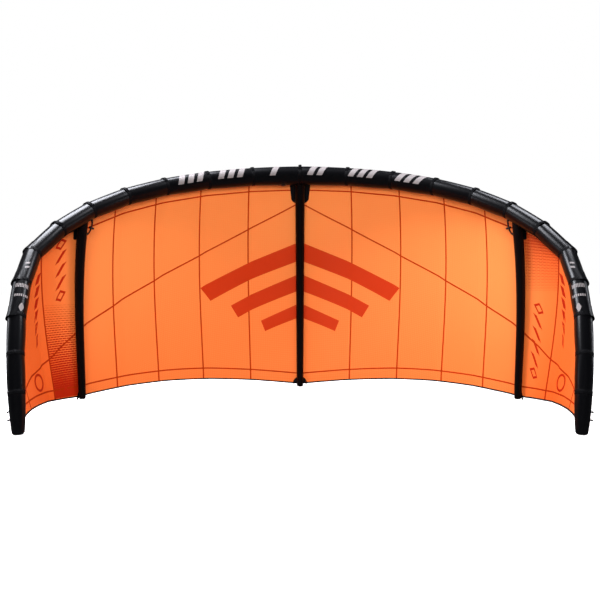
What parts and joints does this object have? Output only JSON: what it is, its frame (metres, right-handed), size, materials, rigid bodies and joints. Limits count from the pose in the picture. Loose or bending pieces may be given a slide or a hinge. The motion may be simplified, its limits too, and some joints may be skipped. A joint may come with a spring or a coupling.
{
  "type": "kitesurf kite",
  "caption": "Inflatable kitesurf kite: arched leading-edge tube, sewn fabric canopy, tapered struts, inflation hoses with pinch clips, inflation valve and wing-tip line loops.",
  "frame": {"origin": "centre of the bounding box across the span and in depth, at the level of the centre strut's foot and the two wing-tip feet that the kite stands on", "axes": "+X across the span towards the rider's right wing, +Z from the trailing edge up to the leading edge, -Y the way the hollow side faces"},
  "size_m": [3.753, 2.0632, 1.9196],
  "materials": {
    "coated_dacron_black": "satin black coated Dacron",
    "strut_dacron_black": "matt black Dacron",
    "ripstop_orange": "thin orange ripstop sailcloth",
    "bladder_film": "milky polyurethane film",
    "hose_black": "matt black rubber hose",
    "clip_plastic": "moulded black plastic",
    "lever_plastic": "moulded dark grey plastic",
    "valve_plastic": "moulded black plastic",
    "valve_cap_plastic": "moulded dark grey plastic",
    "loop_cord": "braided black cord"
  },
  "bodies": {
    "kite": {"le_panel_R01": "coated_dacron_black", "le_panel_R02": "coated_dacron_black", "le_panel_R03": "coated_dacron_black", "le_panel_R04": "coated_dacron_black", "le_panel_R05": "coated_dacron_black", "le_panel_R06": "coated_dacron_black", "le_panel_R07": "coated_dacron_black", "le_panel_R08": "coated_dacron_black", "le_panel_R09": "coated_dacron_black", "le_panel_R10": "coated_dacron_black", "le_panel_R11": "coated_dacron_black", "le_panel_R12": "coated_dacron_black", "le_panel_L01": "coated_dacron_black", "le_panel_L02": "coated_dacron_black", "le_panel_L03": "coated_dacron_black", "le_panel_L04": "coated_dacron_black", "le_panel_L05": "coated_dacron_black", "le_panel_L06": "coated_dacron_black", "le_panel_L07": "coated_dacron_black", "le_panel_L08": "coated_dacron_black", "le_panel_L09": "coated_dacron_black", "le_panel_L10": "coated_dacron_black", "le_panel_L11": "coated_dacron_black", "le_panel_L12": "coated_dacron_black", "canopy_panel_R1": "ripstop_orange", "canopy_panel_R2": "ripstop_orange", "canopy_panel_R3": "ripstop_orange", "canopy_panel_R4": "ripstop_orange", "canopy_panel_R5": "ripstop_orange", "canopy_panel_R6": "ripstop_orange", "canopy_panel_R7": "ripstop_orange", "canopy_panel_R8": "ripstop_orange", "canopy_panel_L1": "ripstop_orange", "canopy_panel_L2": "ripstop_orange", "canopy_panel_L3": "ripstop_orange", "canopy_panel_L4": "ripstop_orange", "canopy_panel_L5": "ripstop_orange", "canopy_panel_L6": "ripstop_orange", "canopy_panel_L7": "ripstop_orange", "canopy_panel_L8": "ripstop_orange", "strut_sleeve_centre": "strut_dacron_black", "strut_sleeve_left": "strut_dacron_black", "strut_sleeve_right": "strut_dacron_black", "strut_bladder_centre": "bladder_film", "strut_bladder_left": "bladder_film", "strut_bladder_right": "bladder_film", "le_bladder": "bladder_film", "hose_left": "hose_black", "clip_body_left": "clip_plastic", "hose_right": "hose_black", "clip_body_right": "clip_plastic", "valve_body": "valve_plastic"},
    "clip_lever_left": {"clip_lever_left": "lever_plastic"},
    "clip_lever_right": {"clip_lever_right": "lever_plastic"},
    "valve_cap": {"valve_cap": "valve_cap_plastic"},
    "tip_loop_left_upper": {"tip_loop_left_upper": "loop_cord"},
    "tip_loop_left_lower": {"tip_loop_left_lower": "loop_cord"},
    "tip_loop_right_upper": {"tip_loop_right_upper": "loop_cord"},
    "tip_loop_right_lower": {"tip_loop_right_lower": "loop_cord"}
  },
  "joints": [
    {"name": "clip_lever_left_hinge", "type": "hinge", "parent": "kite", "child": "clip_lever_left", "pos_m": [-1.56757, 0.04852, 1.30275], "axis": [-0.2713, -0.0887, -0.9584], "range_deg": [0, 75]},
    {"name": "clip_lever_right_hinge", "type": "hinge", "parent": "kite", "child": "clip_lever_right", "pos_m": [1.56757, 0.04852, 1.30275], "axis": [-0.2713, 0.0887, 0.9584], "range_deg": [0, 75]},
    {"name": "valve_cap_hinge", "type": "hinge", "parent": "kite", "child": "valve_cap", "pos_m": [-0.16844, 0.85675, 1.74818], "axis": [0, 0.986, -0.1666], "range_deg": [0, 150]},
    {"name": "tip_loop_left_upper_swing", "type": "hinge", "parent": "kite", "child": "tip_loop_left_upper", "pos_m": [-1.70613, -0.97442, 0.12686], "axis": [0.1382, -0.2019, -0.9696], "range_deg": [-50, 50]},
    {"name": "tip_loop_left_lower_swing", "type": "hinge", "parent": "kite", "child": "tip_loop_left_lower", "pos_m": [-1.69697, -0.98397, 0.081], "axis": [0.1382, -0.2019, -0.9696], "range_deg": [-50, 50]},
    {"name": "tip_loop_right_upper_swing", "type": "hinge", "parent": "kite", "child": "tip_loop_right_upper", "pos_m": [1.70613, -0.97442, 0.12686], "axis": [-0.1382, -0.2019, -0.9696], "range_deg": [-50, 50]},
    {"name": "tip_loop_right_lower_swing", "type": "hinge", "parent": "kite", "child": "tip_loop_right_lower", "pos_m": [1.69697, -0.98397, 0.081], "axis": [-0.1382, -0.2019, -0.9696], "range_deg": [-50, 50]}
  ]
}
